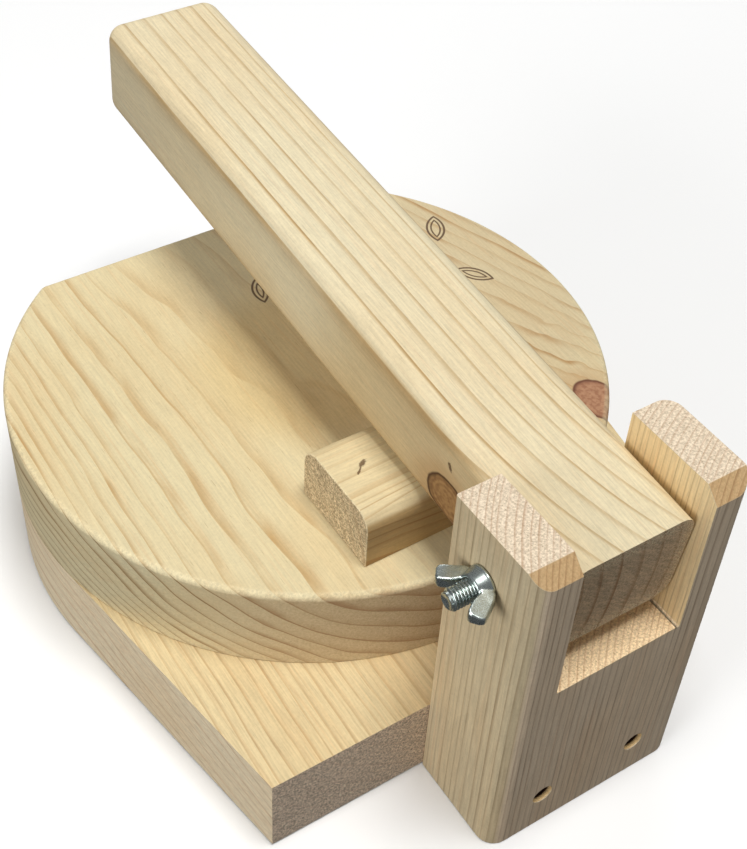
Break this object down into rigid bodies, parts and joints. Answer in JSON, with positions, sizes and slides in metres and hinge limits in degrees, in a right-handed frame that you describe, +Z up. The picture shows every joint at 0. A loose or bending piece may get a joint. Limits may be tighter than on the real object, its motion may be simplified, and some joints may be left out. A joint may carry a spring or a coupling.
{
  "type": "lever press",
  "caption": "Wooden lever press: a round plate hinged to a base board, pressed flat by a lever that pivots on a bolt in a forked post.",
  "frame": {"origin": "centre of the round plate's circle, on the underside of the base board (table level)", "axes": "+X along the pivot bolt towards its domed head, +Y from the forked post to the hinges at the back, +Z up"},
  "size_m": [0.254, 0.3402, 0.17],
  "materials": {
    "pine_base": "sanded bare pine, grain front to back",
    "pine_plate": "sanded bare pine, grain front to back",
    "pine_block": "sanded bare pine, grain side to side",
    "pine_post": "sanded bare pine, grain upright",
    "pine_lever": "sanded bare pine, grain lengthwise",
    "zinc_steel": "bright zinc plate",
    "hinge_steel": "zinc plate, satin",
    "brass_screw": "yellow passivated, dull"
  },
  "bodies": {
    "base": {"base_board": "pine_base", "fork_post": "pine_post", "pivot_bolt": "zinc_steel", "post_screw_left": "brass_screw", "post_screw_right": "brass_screw", "hinge_left_pin": "hinge_steel", "hinge_left_base_leaf": "hinge_steel", "hinge_left_base_screw_1": "zinc_steel", "hinge_left_base_screw_2": "zinc_steel", "hinge_left_base_screw_3": "zinc_steel", "hinge_right_pin": "hinge_steel", "hinge_right_base_leaf": "hinge_steel", "hinge_right_base_screw_1": "zinc_steel", "hinge_right_base_screw_2": "zinc_steel", "hinge_right_base_screw_3": "zinc_steel"},
    "plate": {"press_plate": "pine_plate", "pressure_block": "pine_block", "hinge_left_plate_leaf": "hinge_steel", "hinge_left_plate_screw_1": "zinc_steel", "hinge_left_plate_screw_2": "zinc_steel", "hinge_left_plate_screw_3": "zinc_steel", "hinge_right_plate_leaf": "hinge_steel", "hinge_right_plate_screw_1": "zinc_steel", "hinge_right_plate_screw_2": "zinc_steel", "hinge_right_plate_screw_3": "zinc_steel"},
    "lever": {"lever_arm": "pine_lever"},
    "nut": {"wing_nut": "zinc_steel"}
  },
  "joints": [
    {"name": "lever_swing", "type": "hinge", "parent": "base", "child": "lever", "pos_m": [0.0085, -0.1675, 0.1333], "axis": [1, 0, 0], "range_deg": [0, 195]},
    {"name": "plate_hinge", "type": "hinge", "parent": "base", "child": "plate", "pos_m": [0, 0.105, 0.04], "axis": [-1, 0, 0], "range_deg": [0, 62.5]},
    {"name": "wing_nut_turn", "type": "hinge", "parent": "base", "child": "nut", "pos_m": [-0.0372, -0.1675, 0.1333], "axis": [-1, 0, 0], "continuous": true}
  ],
  "couplings": [
    {"joint": "plate_hinge", "follows": "lever_swing", "ratio": 0.32}
  ]
}
